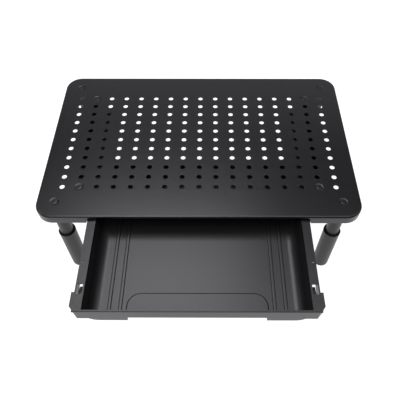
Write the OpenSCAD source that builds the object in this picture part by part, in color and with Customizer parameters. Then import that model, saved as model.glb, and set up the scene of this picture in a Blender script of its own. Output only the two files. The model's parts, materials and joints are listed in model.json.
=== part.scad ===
// Monitor riser stand: a perforated sheet-steel platform on four telescoping legs, with a
// moulded drawer that slides on two rails under it. It is drawn at its highest level with the
// drawer pulled out to its stop. Millimetres, +Z up, -Y is the front.
// Origin: desk level, in the middle of the outline that the open stand covers.

/* [Stand] */
// Height of the platform's top above the desk at the highest level
stand_h = 140; // [136:1:160]
// How far the open drawer reaches in front of the platform
drawer_out = 108; // [100:1:112]

/* [Platform] */
// Width of the platform
plate_w = 372; // [366:1:400]
// Depth of the platform
plate_d = 235; // [232:1:250]
// Corner radius seen from above
corner_r = 20; // [16:1:28]
// Thickness of the sheet steel
sheet = 1.2; // [1:0.1:1.5]
// Height of the folded edge
skirt_h = 12; // [10:0.5:13]
// Outer radius of the fold
fold_r = 2.4; // [2:0.1:3.5]
// Diameter of the vent holes
hole_d = 6.0; // [5:0.1:8]
// Hole spacing along the width
pitch_x = 20; // [18:0.5:20]
// Hole spacing along the depth
pitch_y = 15; // [14:0.5:15]
// Half-width of the front cut-out for the drawer, at the fold
mouth_top_hw = 124.9; // [124.7:0.1:126]
// Half-width of the front cut-out at the skirt's lower edge
mouth_low_hw = 127.3; // [127:0.1:127.6]

/* [Drawer] */
// Height of the drawer's rim below the platform's top
rim_drop = 6; // [5.8:0.1:7]
// Length of the drawer, front to back
drawer_l = 194; // [185:1:200]
// Overall height of the drawer
drawer_h = 22; // [20:0.5:25]
// Wall and floor thickness
wall = 2; // [1.8:0.1:2.2]
// Half-width at the rim's outer edge
rim_hw = 125; // [124:0.1:125]
// Half-width of the opening inside the rim
mouth_hw = 115.5; // [115:0.1:116]
// Half-width of the flat floor
floor_hw = 100; // [98:1:101]
// Radius of the cove between floor and side wall
cove_r = 12; // [10:0.5:12]
// Depth of the lip that hangs from the rim's outer edge
lip_h = 9.8; // [9:0.1:9.9]
// Half-width across the two front corner blocks
ear_hw = 128; // [128:0.5:130]
// Half-width of the finger pull
pull_hw = 73.4; // [60:0.2:74]
// Height of the finger pull's raised floor
pull_rise = 7; // [5:0.5:8]

/* [Rails] */
// Wall thickness of the rails
rail_t = 2; // [1.8:0.1:2]
// Side gap between the drawer and a rail
rail_gap = 1.2; // [1.1:0.1:1.4]
// How far the fixing flange reaches from the middle
flange_hw = 148; // [146:1:150]

/* [Legs] */
// Distance of the leg axes from the middle, across
leg_x = 165; // [162:1:166]
// Distance of the leg axes from the middle, front to back
leg_y = 96; // [94:1:97]
// Outer diameter of the upper tube
tube_d = 16; // [15:0.5:16]
// Outer diameter of the lower sleeve
sleeve_d = 20.6; // [20.4:0.1:22]
// Height of the sleeve's collar top above the desk
sleeve_top = 80; // [76:1:82]
// Wall thickness of tube and sleeve
tube_t = 1.2; // [1:0.1:1.3]
// Height of the snap button above the desk
button_z = 62; // [60:0.5:64]
// Step between two height levels
level_step = 20; // [18:0.5:20]
// Diameter of the snap button
button_d = 6; // [5:0.1:6]

/* [Hidden] */
$fn = 64;
eps = 0.01;
plate_y = drawer_out / 2;              // middle of the platform, from the origin
columns = 8;                           // hole columns on each side of the middle one
rows = 5;                              // hole rows on each side of the middle one
rail_stud_col = 7;                     // the rail studs take the place of these holes
rail_stud_x = rail_stud_col * pitch_x;
rail_stud_y = rows * pitch_y;
dimple_d = 12.4;
dimple_floor_d = 5.6;
dimple_depth = 0.6;
under = -sheet;                        // underside of the sheet, from its top

front_y = -plate_d / 2 - drawer_out;   // drawer, measured from the platform's middle
back_y = front_y + drawer_l;
front_wall = 2.1;
rim_z = -rim_drop;
drawer_z = rim_z - drawer_h;
floor_z = drawer_z + wall;
cove_z = floor_z + cove_r;
ear_l = 21;
ear_h = 17.3;
ear_chamfer = [5.5, 5.8];
ear_inner_hw = 110;
window_in = 117.5;                     // latch window in the rim
window_mid = 121.2;
window_out = 123.4;
window_back = front_y + 30.5;
window_front = front_y + 19;
tongue_back = front_y + 29;
tongue_fall = 2.2;                     // how far the latch tongue slopes down to the rear
pin_hole_x = 121.8;
pin_hole_y = front_y + 55.5;
pull_back = front_y + 26.6;
pull_r = 15;
floor_rib_x = [80.4, 92];
floor_rib = [4, 1.2];
lug = [1, 8, 5];                       // stop lug at the rear of each lip
lug_z = rim_z - 7;

web_x = rim_hw + rail_gap;             // inner face of a rail's web
rail_front = -113;
rail_back = 70;
keeper_back = 51;
shelf_in = 119;
shelf_z = rim_z - lip_h - 0.2;
keeper_z = rim_z + 0.4;
stop_w = 1;
stop_gap = 0.3;
flange_half_l = 82;
gusset_y = [-60, -20, 20, 60];
gusset = [9, 8, 1.6];
core = [1.6, 42.4, 6];                 // wall between cored pockets, their length and depth
core_pitch = core[1] + core[0];
catch_r = 1.2;
catch_y = -111;

tube_r = tube_d / 2;
tube_bore = tube_r - tube_t;
tube_low = button_z - 8;
tube_high = stand_h + under;
sleeve_r = sleeve_d / 2;
sleeve_bore = sleeve_r - tube_t;
running = 0.05;                        // radial clearance of the sliding fits
collar_flange = 2;
collar_skirt = 6;
foot_h = 5.2;
foot_round = 4.3;
foot_boss = 5.8;
pad_r = 7;
pad_proud = 0.8;
leg_stud_r = 3;
leg_stud_flange = [5.9, 0.8];
rail_stud_r = 2;
rail_stud_flange = [2.8, 0.6];
plug_h = 14;
glide_lip = 2;
glide_h = 6;
clip_t = 0.6;
clip_w = 6;
clip_front = 4.4;                      // front face of the clip's sprung leg
clip_back = -6;
button_out = 2.3;                      // how far the button stands out of the sleeve
button_flange_t = 1;

legs = [["front_left", -1, -1], ["front_right", 1, -1], ["rear_left", -1, 1], ["rear_right", 1, 1]];
leg_parts = ["leg_tube", "tube_plug", "tube_glide", "spring_clip", "height_button",
             "leg_sleeve", "sleeve_collar", "foot_plug", "foot_pad"];

// ---------- placing ----------
module at_plate() { translate([0, plate_y, stand_h]) children(); }
module at_leg(leg) { translate([leg[1] * leg_x, plate_y + leg[2] * leg_y, 0]) children(); }
module both_sides() {
    children();
    mirror([1, 0, 0]) children();
}
// extrudes an outline drawn across and up, from y0 back to y1
module along_y(y0, y1) { translate([0, y1, 0]) rotate([90, 0, 0]) linear_extrude(y1 - y0) children(); }
module box(x, y, z) { translate([x[0], y[0], z[0]]) cube([x[1] - x[0], y[1] - y[0], z[1] - z[0]]); }
module ring(r_out, r_in, h) {
    difference() {
        cylinder(h = h, r = r_out);
        translate([0, 0, -eps]) cylinder(h = h + 2 * eps, r = r_in);
    }
}

// ---------- platform ----------
module rounded_rect(w, d, r) {
    square([w - 2 * r, d], center = true);
    square([w, d - 2 * r], center = true);
    for (x = [-1, 1], y = [-1, 1]) translate([x * (w / 2 - r), y * (d / 2 - r)]) circle(r);
}

// section of the folded edge, outward along x from the border of the flat
module fold_section() {
    intersection() {
        translate([0, -fold_r]) difference() {
            circle(fold_r);
            circle(fold_r - sheet);
        }
        translate([0, -fold_r]) square(fold_r);
    }
    translate([fold_r - sheet, -skirt_h]) square([sheet, skirt_h - fold_r]);
}

module folded_edge() {
    for (side = [0, 180]) rotate(side) {
        translate([plate_w / 2 - fold_r, plate_d / 2 - corner_r, 0])
            rotate([90, 0, 0]) linear_extrude(plate_d - 2 * corner_r) fold_section();
        rotate(90) translate([plate_d / 2 - fold_r, plate_w / 2 - corner_r, 0])
            rotate([90, 0, 0]) linear_extrude(plate_w - 2 * corner_r) fold_section();
    }
    for (corner = [[1, 1, 0], [-1, 1, 90], [-1, -1, 180], [1, -1, 270]])
        translate([corner[0] * (plate_w / 2 - corner_r), corner[1] * (plate_d / 2 - corner_r), 0])
            rotate(corner[2]) rotate_extrude(angle = 90) translate([corner_r - fold_r, 0]) fold_section();
}

module vent_holes() {
    for (c = [-columns:columns], r = [-rows:rows])
        if (abs(c) != rail_stud_col || abs(r) != rows)
            translate([c * pitch_x, r * pitch_y]) circle(d = hole_d);
}

module dimple() {
    translate([0, 0, -dimple_depth])
        cylinder(h = dimple_depth + eps, d1 = dimple_floor_d, d2 = dimple_d);
}

module top_plate() {
    color("#2c2c2e") at_plate() difference() {
        union() {
            translate([0, 0, under]) linear_extrude(sheet) difference() {
                rounded_rect(plate_w - 2 * fold_r, plate_d - 2 * fold_r, corner_r - fold_r);
                vent_holes();
            }
            folded_edge();
        }
        for (x = [-1, 1], y = [-1, 1]) {
            translate([x * leg_x, y * leg_y, 0]) dimple();
            translate([x * rail_stud_x, y * rail_stud_y, 0]) dimple();
        }
        along_y(-plate_d / 2 - 1, -plate_d / 2 + sheet + 1)
            polygon([[-mouth_low_hw, -skirt_h - 1], [mouth_low_hw, -skirt_h - 1],
                     [mouth_top_hw, -fold_r - 0.8], [-mouth_top_hw, -fold_r - 0.8]]);
    }
}

// ---------- fixings under the platform ----------
module stud(r, length, flange) {
    translate([0, 0, -flange[1]]) cylinder(h = flange[1], r = flange[0]);
    translate([0, 0, -length]) cylinder(h = length, r = r);
}
module leg_studs() {
    color("silver") at_plate() for (x = [-1, 1], y = [-1, 1])
        translate([x * leg_x, y * leg_y, under]) stud(leg_stud_r, 12, leg_stud_flange);
}
module at_rail_studs(z) {
    for (x = [-1, 1], y = [-1, 1]) translate([x * rail_stud_x, y * rail_stud_y, z]) children();
}
module rail_studs() {
    color("silver") at_plate() at_rail_studs(under) stud(rail_stud_r, 7, rail_stud_flange);
}
module rail_washers() {
    color("silver") at_plate() at_rail_studs(under - rail_t - 0.8) ring(4.5, rail_stud_r, 0.8);
}
module rail_nuts() {
    nut_h = 3.2;
    color("silver") at_plate() at_rail_studs(under - rail_t - 0.8 - nut_h) difference() {
        cylinder(h = nut_h, d = 7 / cos(30), $fn = 6);
        translate([0, 0, -eps]) cylinder(h = nut_h + 2 * eps, r = rail_stud_r);
    }
}

// ---------- rails ----------
// right-hand rail, from the platform's middle
module rail() {
    core_low = under - core[2] - rail_t;   // underside of the cored beam
    difference() {
        union() {
            box([web_x, flange_hw], [-flange_half_l, flange_half_l], [under - rail_t, under]);
            box([web_x, flange_hw], [-1.5 * core_pitch - core[0] / 2, 1.5 * core_pitch + core[0] / 2],
                [core_low, under]);
            box([web_x, web_x + rail_t], [rail_front, rail_back], [shelf_z - rail_t, under]);
            box([shelf_in, web_x + eps], [rail_front, rail_back], [shelf_z - rail_t, shelf_z]);
            box([shelf_in, web_x + eps], [rail_front, keeper_back], [keeper_z, keeper_z + rail_t]);
            box([web_x - stop_w, web_x + eps], [back_y - lug[1] - stop_gap - 8, back_y - lug[1] - stop_gap],
                [lug_z, lug_z + lug[2]]);
            for (y = gusset_y) translate([web_x + rail_t, y - gusset[2] / 2, 0])
                along_y(0, gusset[2]) polygon([[0, core_low], [gusset[0], core_low], [0, core_low - gusset[1]]]);
            translate([shelf_in + 1, catch_y, keeper_z + 0.9]) rotate([0, 90, 0]) cylinder(h = 5, r = catch_r);
        }
        for (i = [-1:1])
            box([web_x + rail_t, flange_hw - core[0]], [i * core_pitch - core[1] / 2, i * core_pitch + core[1] / 2],
                [core_low + rail_t, under + 1]);
        for (y = [-1, 1]) translate([rail_stud_x, y * rail_stud_y, under - rail_t - eps]) {
            cylinder(h = rail_t + 2 * eps, r = rail_stud_r + 0.1);
            translate([0, 0, rail_t - 0.7]) cylinder(h = 1, r = rail_stud_flange[0] + 0.2);
        }
    }
}
module left_rail() { color("#1d1d1f") at_plate() mirror([1, 0, 0]) rail(); }
module right_rail() { color("#1d1d1f") at_plate() rail(); }

// ---------- drawer ----------
// cross-section of the tray, inset from its outside by t
module tray_section(t, top_hw, top) {
    r = cove_r + wall - t;
    polygon([[-floor_hw, drawer_z + t], [floor_hw, drawer_z + t], [floor_hw + r, cove_z],
             [top_hw, rim_z], [top_hw, top], [-top_hw, top], [-top_hw, rim_z], [-floor_hw - r, cove_z]]);
    intersection() {
        for (s = [-1, 1]) translate([s * floor_hw, cove_z]) circle(r);
        translate([-rim_hw, drawer_z]) square([2 * rim_hw, cove_z - drawer_z]);
    }
}
module ear_outline() {
    polygon([[ear_inner_hw, front_y], [ear_hw - ear_chamfer[0], front_y],
             [ear_hw, front_y + ear_chamfer[1]], [ear_hw, front_y + ear_l], [ear_inner_hw, front_y + ear_l]]);
}
// hollow front corner block, open at the bottom
module ear() {
    difference() {
        translate([0, 0, rim_z - ear_h]) linear_extrude(ear_h) ear_outline();
        translate([0, 0, rim_z - ear_h - 1]) linear_extrude(ear_h + 1 - wall) polygon([
            [ear_inner_hw - 1, front_y + front_wall], [ear_hw - ear_chamfer[0] - 1, front_y + front_wall],
            [ear_hw - wall, front_y + ear_chamfer[1] + 1], [ear_hw - wall, front_y + ear_l - wall],
            [ear_inner_hw - 1, front_y + ear_l - wall]]);
    }
}
module pull_outline(inset, front) {
    hw = pull_hw - inset;
    r = pull_r - inset;
    back = pull_back - inset;
    translate([-hw, front]) square([2 * hw, back - r - front]);
    translate([-hw + r, front]) square([2 * (hw - r), back - front]);
    intersection() {
        for (s = [-1, 1]) translate([s * (hw - r), back - r]) circle(r);
        translate([-hw, front]) square([2 * hw, back - front]);
    }
}
module latch_tongue() {
    top = rim_z - wall + eps;
    translate([window_in - 2, 0, 0]) rotate([90, 0, 90]) linear_extrude(window_mid - window_in + 2)
        polygon([[window_front - 1, top], [front_y + ear_l, top], [tongue_back, top - tongue_fall],
                 [tongue_back, top - tongue_fall - wall], [window_front - 1, top - wall]]);
}
module tray_body() {
    along_y(front_y, back_y) tray_section(0, mouth_hw + wall - 0.2, rim_z);
    both_sides() {
        box([mouth_hw + 1, rim_hw], [front_y, back_y], [rim_z - wall, rim_z]);
        box([rim_hw - 1.8, rim_hw], [front_y + ear_l - wall, back_y], [rim_z - lip_h, rim_z]);
        box([rim_hw - eps, rim_hw + lug[0]], [back_y - lug[1], back_y], [lug_z, lug_z + lug[2]]);
        ear();
        latch_tongue();
    }
}
module drawer_tray() {
    color("#3a3a3c") at_plate() difference() {
        union() {
            difference() {
                tray_body();
                along_y(front_y + front_wall, back_y - wall) tray_section(wall, mouth_hw, rim_z + 1);
            }
            translate([0, 0, drawer_z]) linear_extrude(wall + pull_rise) pull_outline(0, front_y);
            both_sides() for (x = floor_rib_x)
                box([x - floor_rib[0] / 2, x + floor_rib[0] / 2],
                    [front_y + front_wall - eps, back_y - wall + eps], [floor_z - eps, floor_z + floor_rib[1]]);
        }
        translate([0, 0, drawer_z - 1]) linear_extrude(1 + pull_rise) pull_outline(wall, front_y - 1);
        both_sides() {
            box([window_in, window_out], [window_front, window_back], [rim_z - wall, rim_z + 1]);
            box([window_mid, window_out], [window_front, window_back], [rim_z - 9, rim_z + 1]);
            translate([pin_hole_x, pin_hole_y, rim_z - wall - 1]) cylinder(h = wall + 2, d = 2.2);
        }
    }
}

// ---------- legs, each on its own axis with z from the desk ----------
module leg_tube() {
    color("#3c3c3e") difference() {
        translate([0, 0, tube_low]) ring(tube_r, tube_bore, tube_high - tube_low);
        translate([0, 0, button_z]) rotate([-90, 0, 0]) cylinder(h = tube_r + 1, r = button_d / 2 + 0.1);
    }
}
module tube_plug() {
    color("silver") translate([0, 0, tube_high - leg_stud_flange[1] - plug_h])
        ring(tube_bore, leg_stud_r, plug_h);
}
module tube_glide() {
    glide_r = sleeve_bore - running;
    color("#e8e8e8") translate([0, 0, tube_low - glide_lip]) {
        ring(glide_r, 4, glide_lip);
        translate([0, 0, glide_lip]) ring(glide_r, tube_r, glide_h - glide_lip);
        translate([0, 0, glide_lip]) ring(tube_bore, 4, 3);
    }
}
// U-shaped leaf spring; its front leg presses the button outward
module spring_clip() {
    bend_r = (clip_front - clip_back) / 2;
    mid = (clip_front + clip_back) / 2;
    leg_low = button_z - 3.5;
    bend_z = button_z + 22;
    color("gainsboro") rotate([90, 0, 90]) translate([0, 0, -clip_w / 2]) linear_extrude(clip_w) {
        translate([clip_back, leg_low]) square([clip_t, bend_z - leg_low]);
        translate([clip_front - clip_t, leg_low]) square([clip_t, bend_z - leg_low]);
        intersection() {
            translate([mid, bend_z]) difference() {
                circle(bend_r);
                circle(bend_r - clip_t);
            }
            translate([clip_back, bend_z]) square([2 * bend_r, bend_r + 1]);
        }
    }
}
module height_button() {
    r = button_d / 2;
    tip = sleeve_r + button_out;
    dome_r = 5;
    color("silver") translate([0, 0, button_z]) rotate([-90, 0, 0]) {
        translate([0, 0, clip_front]) cylinder(h = button_flange_t, r = r + 0.9);
        intersection() {
            translate([0, 0, clip_front]) cylinder(h = tip - clip_front, r = r);
            union() {
                translate([0, 0, tip - dome_r]) sphere(dome_r);
                cylinder(h = tip - dome_r, r = r + 1);
            }
        }
    }
}
module leg_sleeve() {
    color("#3c3c3e") difference() {
        translate([0, 0, foot_h]) ring(sleeve_r, sleeve_bore, sleeve_top - collar_flange - foot_h);
        for (level = [0:2]) translate([0, 0, button_z - level * level_step])
            rotate([-90, 0, 0]) cylinder(h = sleeve_r + 1, r = button_d / 2 + 0.2);
    }
}
module sleeve_collar() {
    bore = tube_r + running;
    edge = 0.5;
    z0 = sleeve_top - collar_flange;
    color("#0c0c0d") rotate_extrude() polygon([
        [bore, z0 - collar_skirt], [sleeve_bore, z0 - collar_skirt], [sleeve_bore, z0], [sleeve_r + 0.2, z0],
        [sleeve_r + 0.2, sleeve_top - edge], [sleeve_r + 0.2 - edge, sleeve_top], [bore, sleeve_top]]);
}
module foot_plug() {
    color("#222224") difference() {
        rotate_extrude() {
            translate([0, pad_proud]) square([sleeve_r - foot_round, foot_h - pad_proud]);
            translate([0, pad_proud + foot_round]) square([sleeve_r, foot_h - pad_proud - foot_round]);
            translate([0, foot_h]) square([sleeve_bore, foot_boss]);
            intersection() {
                translate([sleeve_r - foot_round, pad_proud + foot_round]) circle(foot_round);
                translate([sleeve_r - foot_round, pad_proud]) square(foot_round);
            }
        }
        translate([0, 0, foot_h]) cylinder(h = foot_boss + 1, r = 6.5);
        translate([0, 0, pad_proud - 1]) cylinder(h = 2.4, r = pad_r - 1.4);
    }
}
module foot_pad() { color("#111112") cylinder(h = pad_proud + 1.4, r = pad_r - 1.4); }

top_plate();
leg_studs();
rail_studs();
rail_washers();
rail_nuts();
left_rail();
right_rail();
drawer_tray();
for (leg = legs) {
    at_leg(leg) leg_tube();
    at_leg(leg) tube_plug();
    at_leg(leg) tube_glide();
    at_leg(leg) spring_clip();
    at_leg(leg) height_button();
    at_leg(leg) leg_sleeve();
    at_leg(leg) sleeve_collar();
    at_leg(leg) foot_plug();
    at_leg(leg) foot_pad();
}
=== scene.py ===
"""Looks of the monitor riser stand: perforated platform, telescoping legs, pulled-out drawer."""
import json
import math

import bmesh
import bpy
from mathutils import Matrix, Vector
from mathutils.geometry import delaunay_2d_cdt

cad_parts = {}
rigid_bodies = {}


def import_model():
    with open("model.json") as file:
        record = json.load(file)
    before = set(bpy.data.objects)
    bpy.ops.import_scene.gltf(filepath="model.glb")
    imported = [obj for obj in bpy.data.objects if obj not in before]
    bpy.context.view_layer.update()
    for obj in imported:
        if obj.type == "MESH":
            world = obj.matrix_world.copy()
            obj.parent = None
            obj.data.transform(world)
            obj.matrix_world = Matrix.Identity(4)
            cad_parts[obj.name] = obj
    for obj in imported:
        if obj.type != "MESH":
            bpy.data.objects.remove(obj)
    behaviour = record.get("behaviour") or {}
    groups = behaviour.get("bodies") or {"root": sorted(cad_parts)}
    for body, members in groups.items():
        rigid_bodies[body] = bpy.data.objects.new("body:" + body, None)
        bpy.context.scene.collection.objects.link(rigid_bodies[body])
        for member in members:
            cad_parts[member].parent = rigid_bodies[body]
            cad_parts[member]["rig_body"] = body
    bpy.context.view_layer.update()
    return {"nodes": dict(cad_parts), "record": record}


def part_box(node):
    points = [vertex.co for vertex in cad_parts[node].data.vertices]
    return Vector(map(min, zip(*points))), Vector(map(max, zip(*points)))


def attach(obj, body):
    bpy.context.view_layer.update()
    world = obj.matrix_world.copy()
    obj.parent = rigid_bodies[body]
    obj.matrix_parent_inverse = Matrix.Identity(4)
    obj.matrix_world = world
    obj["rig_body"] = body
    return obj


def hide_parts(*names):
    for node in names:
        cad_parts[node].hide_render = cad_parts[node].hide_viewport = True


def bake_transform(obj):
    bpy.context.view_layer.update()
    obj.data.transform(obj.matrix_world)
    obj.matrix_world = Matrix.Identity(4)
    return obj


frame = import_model()

MM = 0.001

# ---------- places read from the frame ----------
plate_lo, plate_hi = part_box("top_plate")
drawer_lo, drawer_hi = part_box("drawer_tray")
CENTRE = Vector(((plate_lo.x + plate_hi.x) / 2, (plate_lo.y + plate_hi.y) / 2, plate_hi.z))
PLATE_W = plate_hi.x - plate_lo.x
PLATE_D = plate_hi.y - plate_lo.y
SKIRT_H = plate_hi.z - plate_lo.z


# ---------- camera ----------
def make_camera():
    """The photograph's view: from the front, about 54 degrees down, framed slightly off centre."""
    pitch, yaw, roll = (math.radians(a) for a in (54.08, -0.24, -0.09))
    forward = Vector((math.sin(yaw) * math.cos(pitch), math.cos(yaw) * math.cos(pitch), -math.sin(pitch)))
    level = Vector((math.cos(yaw), -math.sin(yaw), 0))
    upright = level.cross(forward)
    right = level * math.cos(roll) + upright * math.sin(roll)
    up = upright * math.cos(roll) - level * math.sin(roll)
    data = bpy.data.cameras.new("camera")
    data.sensor_width = 36
    data.lens = 41.85
    data.shift_x, data.shift_y = -0.0189, -0.0088
    data.clip_start = 0.01
    camera = bpy.data.objects.new("camera", data)
    bpy.context.scene.collection.objects.link(camera)
    place = Matrix((right, up, -forward)).transposed().to_4x4()
    place.translation = CENTRE + Vector((11.4, -402.5, 433.0)) * MM
    camera.matrix_world = place
    bpy.context.scene.camera = camera


# ---------- materials ----------
def shader(name):
    """A node material, its principled shader and its texture coordinates in metres."""
    material = bpy.data.materials.new(name)
    material.use_nodes = True
    tree = material.node_tree
    place = tree.nodes.new("ShaderNodeTexCoord").outputs["Object"]
    return material, tree, tree.nodes["Principled BSDF"], place


def noise(tree, place, scale, detail=2.0, roughness=0.5):
    node = tree.nodes.new("ShaderNodeTexNoise")
    node.inputs["Scale"].default_value = scale
    node.inputs["Detail"].default_value = detail
    node.inputs["Roughness"].default_value = roughness
    tree.links.new(place, node.inputs["Vector"])
    return node.outputs["Fac"]


def spread(tree, value, low, high, from_low=0.3, from_high=0.7):
    """Maps a noise value onto the range low to high."""
    node = tree.nodes.new("ShaderNodeMapRange")
    node.inputs["From Min"].default_value = from_low
    node.inputs["From Max"].default_value = from_high
    node.inputs["To Min"].default_value = low
    node.inputs["To Max"].default_value = high
    tree.links.new(value, node.inputs["Value"])
    return node.outputs["Result"]


def tinted(tree, value, dark, light):
    """A colour between dark and light, chosen by value."""
    node = tree.nodes.new("ShaderNodeMix")
    node.data_type = "RGBA"
    node.inputs["A"].default_value = (*dark, 1)
    node.inputs["B"].default_value = (*light, 1)
    tree.links.new(value, node.inputs["Factor"])
    return node.outputs["Result"]


def bumped(tree, principled, heights):
    """Chains bumps of (height value, depth in metres) into the shader's normal."""
    normal = None
    for height, depth in heights:
        node = tree.nodes.new("ShaderNodeBump")
        node.inputs["Distance"].default_value = depth
        node.inputs["Strength"].default_value = 1.0
        tree.links.new(height, node.inputs["Height"])
        if normal is not None:
            tree.links.new(normal, node.inputs["Normal"])
        normal = node.outputs["Normal"]
    tree.links.new(normal, principled.inputs["Normal"])


def textured(name, base, roughness, grain, depth, vary=0.08, metallic=0.0, specular=0.5):
    """Paint or moulded plastic: a base colour that drifts a little, uneven gloss and a fine surface grain."""
    material, tree, principled, place = shader(name)
    drift = spread(tree, noise(tree, place, 14, 3), 0, 1)
    low = tuple(c * (1 - vary) for c in base)
    high = tuple(min(1, c * (1 + vary)) for c in base)
    tree.links.new(tinted(tree, drift, low, high), principled.inputs["Base Color"])
    fine = noise(tree, place, grain, 3, 0.6)
    tree.links.new(spread(tree, fine, roughness - 0.05, roughness + 0.05), principled.inputs["Roughness"])
    principled.inputs["Metallic"].default_value = metallic
    principled.inputs["Specular IOR Level"].default_value = specular
    bumped(tree, principled, [(noise(tree, place, 90, 2), depth * 2), (fine, depth)])
    return material


def materials():
    return {
        "powder_coated_sheet": textured("powder_coated_sheet", (0.0060, 0.0060, 0.0064), 0.31, 2600, 0.00002),
        "powder_coated_tube": textured("powder_coated_tube", (0.009, 0.009, 0.0095), 0.42, 2600, 0.00002,
                                       specular=0.4),
        "drawer_plastic": textured("drawer_plastic", (0.0065, 0.0065, 0.0069), 0.34, 3400, 0.00001),
        # rail plastic: its base colour is set darker than the other plastics so that the holes over the rails
        # show black; part real black plastic, part painted shade of the hollow under the holes
        "rail_plastic": textured("rail_plastic", (0.0030, 0.0030, 0.0033), 0.60, 3400, 0.00002, specular=0.2),
        "collar_plastic": textured("collar_plastic", (0.004, 0.004, 0.0045), 0.45, 3000, 0.00001),
        "foot_plastic": textured("foot_plastic", (0.010, 0.010, 0.011), 0.45, 3400, 0.00002),
        "glide_plastic": textured("glide_plastic", (0.75, 0.75, 0.72), 0.40, 2000, 0.00001, vary=0.03),
        "foot_rubber": textured("foot_rubber", (0.018, 0.018, 0.018), 0.85, 1800, 0.00004),
        "zinc_steel": textured("zinc_steel", (0.60, 0.61, 0.63), 0.32, 1500, 0.00001, metallic=1.0),
        "spring_steel": textured("spring_steel", (0.52, 0.53, 0.56), 0.28, 1200, 0.00001, metallic=1.0),
        "button_steel": textured("button_steel", (0.50, 0.51, 0.53), 0.22, 1800, 0.000005, metallic=1.0),
    }


FINISH = materials()
NODE_SLOT = {s["node"]: s["material_slot"] for s in frame["record"]["subparts"]}


# ---------- mesh helpers ----------
def piece(name, mesh_data, slot, body, *nodes):
    """Links a finished mesh as a piece that rides on a body, or on none yet, and stands for CAD nodes."""
    obj = bpy.data.objects.new(name, mesh_data)
    bpy.context.scene.collection.objects.link(obj)
    mesh_data.materials.append(FINISH[slot])
    if body:
        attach(obj, body)
    if nodes:
        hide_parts(*nodes)
    return obj


def smooth_bevel(obj, width, segments=2, angle=40):
    """Rounds the sharp edges, then weights normals by area so that flats stay flat."""
    obj.data.polygons.foreach_set("use_smooth", [True] * len(obj.data.polygons))
    bevel = obj.modifiers.new("edges", "BEVEL")
    bevel.width = width
    bevel.segments = segments
    bevel.limit_method = "ANGLE"
    bevel.angle_limit = math.radians(angle)
    bevel.miter_outer = "MITER_ARC"
    normals = obj.modifiers.new("normals", "WEIGHTED_NORMAL")
    normals.mode = "FACE_AREA"
    normals.weight = 50
    normals.keep_sharp = True


def to_mesh(bm, name):
    bmesh.ops.recalc_face_normals(bm, faces=bm.faces)
    mesh_data = bpy.data.meshes.new(name)
    bm.to_mesh(mesh_data)
    bm.free()
    return mesh_data


# ---------- platform ----------
SHEET = 1.2 * MM         # sheet thickness
FOLD_R = 2.4 * MM
CORNER_R = 20 * MM
HOLE_R = 3.0 * MM
PITCH = Vector((20, 15)) * MM
HOLE_SIDES = 36
DIMPLE_R = 5.6 * MM
# a weld dimple's radius and depth in mm, from its rim to the small raised disc in its middle
DIMPLE_PROFILE = ((5.3, 0.03), (5.0, 0.12), (4.6, 0.30), (4.2, 0.40), (3.8, 0.43),
                  (2.9, 0.43), (2.6, 0.40), (2.2, 0.25), (1.9, 0.20))
# the drawer's mouth in the front skirt: its half-widths above and below, and how far down its top edge lies
MOUTH_TOP = 124.9 * MM
MOUTH_LOW = 127.3 * MM
MOUTH_Z = FOLD_R + 0.8 * MM
LEG = Vector((165, 96)) * MM
RAIL_STUD = Vector((7 * PITCH.x, 5 * PITCH.y))


def quarters(p):
    """The four mirror images of a point about the platform's middle."""
    return [Vector((x * p.x, y * p.y)) for x in (-1, 1) for y in (-1, 1)]


def hole_centres():
    return [Vector((c * PITCH.x, r * PITCH.y)) for c in range(-8, 9) for r in range(-5, 6)
            if (abs(c), abs(r)) != (7, 5)]


def circle(centre, radius, sides):
    turn = 2 * math.pi / sides
    return [centre + radius * Vector((math.cos(i * turn), math.sin(i * turn))) for i in range(sides)]


def outline_stations():
    """Points round the flat's border with their outward directions and how deep the skirt is there."""
    half = Vector((PLATE_W, PLATE_D)) / 2
    steps = 20
    stations = []
    for quarter, (sx, sy) in enumerate(((1, 1), (-1, 1), (-1, -1), (1, -1))):
        centre = Vector((sx * (half.x - CORNER_R), sy * (half.y - CORNER_R)))
        for i in range(steps + 1):
            a = math.pi / 2 * (quarter + i / steps)
            out = Vector((math.cos(a), math.sin(a)))
            stations.append((centre + out * (CORNER_R - FOLD_R), out, SKIRT_H))
        if quarter == 2:
            y = -half.y + FOLD_R
            down = Vector((0, -1))
            mouth = ((-MOUTH_LOW, SKIRT_H), (-MOUTH_TOP, MOUTH_Z), (MOUTH_TOP, MOUTH_Z), (MOUTH_LOW, SKIRT_H))
            for x, depth in mouth:
                stations.append((Vector((x, y)), down, depth))
    return stations


def fold_profile(depth):
    """Outward reach and height of the folded edge's skin, from the top flat round to the underside."""
    steps = 8
    inner = FOLD_R - SHEET
    arc = [math.pi / 2 * i / steps for i in range(steps + 1)]
    outside = [(FOLD_R * math.sin(a), FOLD_R * (math.cos(a) - 1)) for a in arc]
    inside = [(inner * math.sin(a), inner * math.cos(a) - FOLD_R) for a in reversed(arc)]
    skin = [(FOLD_R, -MOUTH_Z), (FOLD_R, -depth), (inner, -depth), (inner, -MOUTH_Z)]
    return outside + skin + inside


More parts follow.
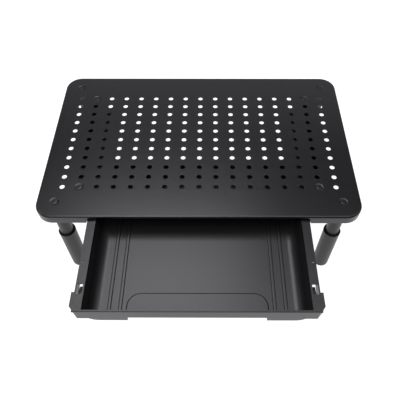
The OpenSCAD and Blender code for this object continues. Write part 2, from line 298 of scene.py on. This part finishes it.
def make_platform():
    bm = bmesh.new()
    stations = outline_stations()
    border = [p for p, _, _ in stations]
    holes = [circle(c, HOLE_R, HOLE_SIDES) for c in hole_centres()]
    dimples = [circle(c, DIMPLE_R, HOLE_SIDES) for c in quarters(LEG) + quarters(RAIL_STUD)]
    loops = [border] + holes + dimples
    points, edges = [], []
    for loop in loops:
        first = len(points)
        points += loop
        edges += [(first + i, first + (i + 1) % len(loop)) for i in range(len(loop))]
    flat, _, triangles, *_ = delaunay_2d_cdt(points, edges, [], 1, 1e-7)
    openings = hole_centres() + quarters(LEG) + quarters(RAIL_STUD)
    radii = [HOLE_R] * len(holes) + [DIMPLE_R] * len(dimples)

    def in_opening(t):
        middle = sum((flat[i] for i in t), Vector((0, 0))) / 3
        return any((middle - c).length < r * 0.99 for c, r in zip(openings, radii))

    solid = [t for t in triangles if not in_opening(t)]

    def layer(z):
        verts = [bm.verts.new(CENTRE + Vector((p.x, p.y, z))) for p in flat]
        for t in solid:
            bm.faces.new([verts[i] for i in t])

    def near(loop, z):
        return [bm.verts.new(CENTRE + Vector((p.x, p.y, z))) for p in loop]

    def bridge(a, b):
        for i in range(len(a)):
            j = (i + 1) % len(a)
            bm.faces.new((a[i], a[j], b[j], b[i]))

    layer(0)
    layer(-SHEET)
    for loop in holes:
        bridge(near(loop, 0), near(loop, -SHEET))
    for c in openings[len(holes):]:
        previous = near(circle(c, DIMPLE_R, HOLE_SIDES), 0)
        for radius, depth in DIMPLE_PROFILE:
            ring = near(circle(c, radius * MM, HOLE_SIDES), -depth * MM)
            bridge(previous, ring)
            previous = ring
        bm.faces.new(previous)
        bm.faces.new(near(circle(c, DIMPLE_R, HOLE_SIDES), -SHEET))
    sections = []
    for p, out, depth in stations:
        sections.append([bm.verts.new(CENTRE + Vector((p.x + u * out.x, p.y + u * out.y, z)))
                         for u, z in fold_profile(depth)])
    for i, section in enumerate(sections):
        after = sections[(i + 1) % len(sections)]
        for j in range(len(section) - 1):
            bm.faces.new((section[j], after[j], after[j + 1], section[j + 1]))
    bmesh.ops.remove_doubles(bm, verts=bm.verts, dist=1e-6)
    bmesh.ops.dissolve_degenerate(bm, edges=bm.edges, dist=1e-7)
    plate = piece("platform", to_mesh(bm, "platform"), "powder_coated_sheet", "stand", "top_plate")
    smooth_bevel(plate, 0.22 * MM, 2, 50)


# ---------- pieces taken from the CAD shapes ----------
def refined(node, width, segments=2, angle=32, soft=None, soft_width=0):
    """A copy of a CAD node's mesh with flats merged and sharp edges rounded, wider where soft(a, b) says."""
    source = frame["nodes"][node]
    bm = bmesh.new()
    bm.from_mesh(source.data)
    bmesh.ops.remove_doubles(bm, verts=bm.verts, dist=2e-6)
    bmesh.ops.dissolve_limit(bm, angle_limit=math.radians(0.5), verts=bm.verts, edges=bm.edges)
    bm.normal_update()
    if soft:
        weight = bm.edges.layers.float.new("bevel_weight_edge")
        for edge in bm.edges:
            convex = len(edge.link_faces) == 2 and edge.calc_face_angle_signed() > math.radians(angle)
            edge[weight] = soft(*(v.co for v in edge.verts)) if convex else 0.0
    obj = piece(node + "_shape", to_mesh(bm, node + "_shape"), NODE_SLOT[node], source["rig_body"], node)
    if soft:
        bevel = obj.modifiers.new("soft_edges", "BEVEL")
        bevel.width = soft_width
        bevel.segments = 4
        bevel.limit_method = "WEIGHT"
    smooth_bevel(obj, width, segments, angle)
    return obj


DRAWER_WALL = 2.0 * MM
RIB_TOP = drawer_lo.z + DRAWER_WALL + 1.2 * MM
PULL_TOP = drawer_lo.z + DRAWER_WALL + 7.0 * MM
LEVEL_GAP = 0.01 * MM
PULL_ROUND = 1.7 * MM
LESS_ROUND = 0.6


def softened(a, b):
    """How round a drawer edge is: fully on the finger pull, less on the floor ribs and the front's top edge."""
    if abs(a.z - b.z) > LEVEL_GAP:
        return 0.0
    level = (a.z + b.z) / 2
    if abs(level - PULL_TOP) < LEVEL_GAP:
        return 1.0
    at_front = max(a.y, b.y) < drawer_lo.y + 0.1 * MM and level > drawer_hi.z - 0.1 * MM
    return LESS_ROUND if at_front or abs(level - RIB_TOP) < LEVEL_GAP else 0.0


CLIP_FLAT = 3.9 * MM    # the clip's sprung leg stays flat behind the button's flange up to here above its axis
CLIP_BEND = 22 * MM     # where the clip's bend begins above the button's axis
CLIP_CUTS = 9


def make_spring_clip(leg):
    """The U-shaped clip with the sprung leg that carries the button, its mesh cut across into bands from the flat
    part of that leg up to its bend.
    """
    node = leg + "_spring_clip"
    bm = bmesh.new()
    bm.from_mesh(frame["nodes"][node].data)
    bmesh.ops.remove_doubles(bm, verts=bm.verts, dist=2e-6)
    button_lo, button_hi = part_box(leg + "_height_button")
    button_z = (button_lo.z + button_hi.z) / 2
    flat_z = button_z + CLIP_FLAT
    bend_z = button_z + CLIP_BEND
    for i in range(CLIP_CUTS + 1):
        bmesh.ops.bisect_plane(bm, geom=bm.verts[:] + bm.edges[:] + bm.faces[:], dist=1e-6, plane_no=(0, 0, 1),
                               plane_co=(0, 0, flat_z + (bend_z - flat_z) * i / CLIP_CUTS))
    clip = piece(node + "_shape", to_mesh(bm, node + "_shape"), NODE_SLOT[node], None, node)
    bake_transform(clip)


def paint_kept_nodes():
    """CAD nodes that stay as they are get their slot's finish."""
    for name, obj in frame["nodes"].items():
        if obj.hide_render:
            continue
        obj.data.materials.clear()
        obj.data.materials.append(FINISH[NODE_SLOT[name]])


# ---------- studio ----------
LIGHT_COLOUR = (0.955, 0.955, 1.0)
TINT_GAIN = 1.04    # makes up for what the tint takes


def area_light(name, at, target, size, power):
    data = bpy.data.lights.new(name, "AREA")
    data.shape = "RECTANGLE"
    data.size, data.size_y = size
    data.energy = power * TINT_GAIN
    data.color = LIGHT_COLOUR
    light = bpy.data.objects.new(name, data)
    light.location = at
    light.rotation_euler = (Vector(target) - Vector(at)).to_track_quat("-Z", "Y").to_euler()
    bpy.context.scene.collection.objects.link(light)


def make_studio():
    bpy.context.scene.view_settings.view_transform = "Standard"
    world = bpy.data.worlds.new("studio")
    world.use_nodes = True
    world.node_tree.nodes["Background"].inputs["Color"].default_value = (1, 1, 1, 1)
    world.node_tree.nodes["Background"].inputs["Strength"].default_value = 1.0
    world.cycles_visibility.diffuse = False
    world.cycles_visibility.glossy = False
    bpy.context.scene.world = world

    material, _, principled, _ = shader("floor")
    principled.inputs["Base Color"].default_value = (0.25, 0.25, 0.25, 1)
    principled.inputs["Roughness"].default_value = 0.9
    principled.inputs["Specular IOR Level"].default_value = 0.0
    principled.inputs["Emission Color"].default_value = (1, 1, 1, 1)
    principled.inputs["Emission Strength"].default_value = 1.0    # just white to the camera, mirrored in the legs
    bpy.ops.mesh.primitive_plane_add(size=8, location=(0, 0, 0))
    floor = bpy.context.object
    floor.name = "floor"
    floor.data.materials.append(material)
    floor.visible_diffuse = False

    area_light("softbox", (-0.16, 0.36, 1.25), (-0.16, -0.1, 0.14), (0.62, 0.54), 5.3)
    area_light("top_front", (-0.25, -0.55, 1.25), (-0.1, -0.1, 0.14), (0.7, 0.8), 9)
    area_light("top_right", (0.45, -0.10, 1.25), (0, -0.1, 0.12), (0.5, 0.6), 2.6)
    area_light("fill_right", (0.42, 0.25, 1.25), (0.0, -0.15, 0.12), (0.34, 0.50), 0.55)
    area_light("fill_left", (-0.62, 0.25, 1.25), (-0.1, -0.15, 0.12), (0.26, 0.50), 0.9)
    area_light("left", (-1.3, -0.1, 0.95), (0, -0.1, 0.12), (0.9, 0.6), 4)
    area_light("right", (1.2, 0.0, 1.1), (0, -0.1, 0.12), (0.8, 0.5), 1.6)
    area_light("back", (0.1, 1.5, 1.05), (0, 0.1, 0.14), (2.2, 0.6), 3.4)


make_camera()
make_platform()
refined("drawer_tray", 0.35 * MM, 2, soft=softened, soft_width=PULL_ROUND)
for rail in ("left_rail", "right_rail"):
    refined(rail, 0.3 * MM)
for leg_name in ("front_left", "front_right", "rear_left", "rear_right"):
    make_spring_clip(leg_name)
paint_kept_nodes()
make_studio()
